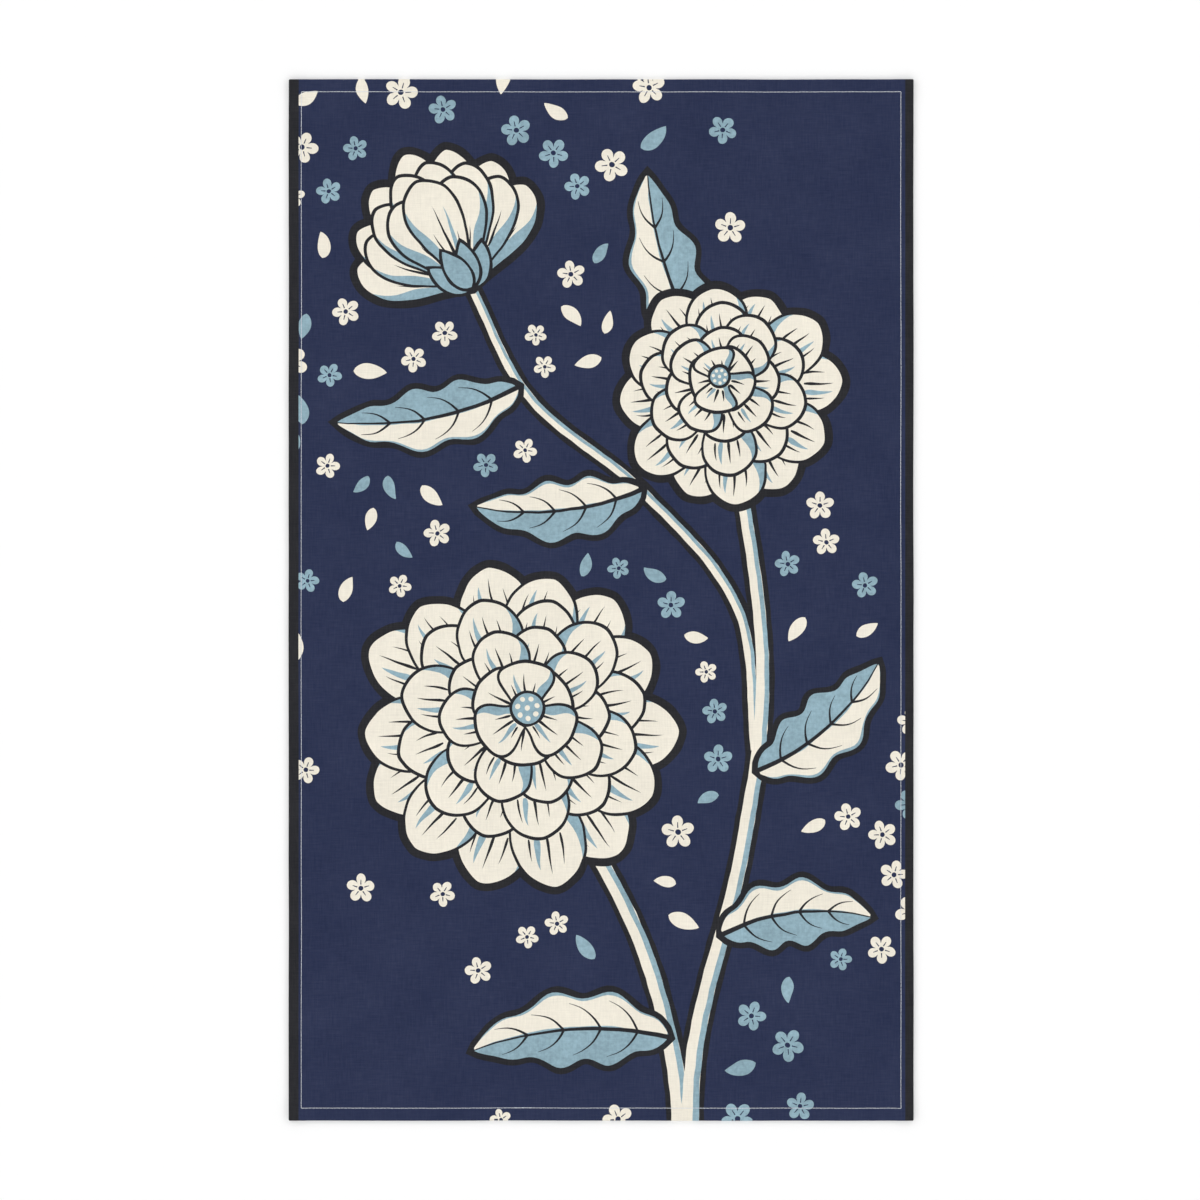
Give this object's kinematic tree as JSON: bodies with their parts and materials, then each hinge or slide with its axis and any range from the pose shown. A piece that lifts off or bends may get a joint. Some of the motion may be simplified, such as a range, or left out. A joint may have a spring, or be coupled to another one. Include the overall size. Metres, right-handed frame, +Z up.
{
  "type": "tea towel",
  "caption": "Flat rectangular cotton tea towel, printed on one side, with folded and stitched hems all round, lying face up.",
  "frame": {"origin": "middle of the underside, on the surface that the towel lies on", "axes": "+X across the towel, +Y along it towards the top end of the print, +Z up out of the printed face"},
  "size_m": [0.4572, 0.762, 0.0027],
  "materials": {
    "printed_cotton": "matt printed cotton, navy ground with cream and pale blue motifs, white on the back",
    "sewing_thread": "pale twisted cotton sewing thread"
  },
  "bodies": {
    "root": {"tea_towel": "printed_cotton"}
  },
  "joints": []
}
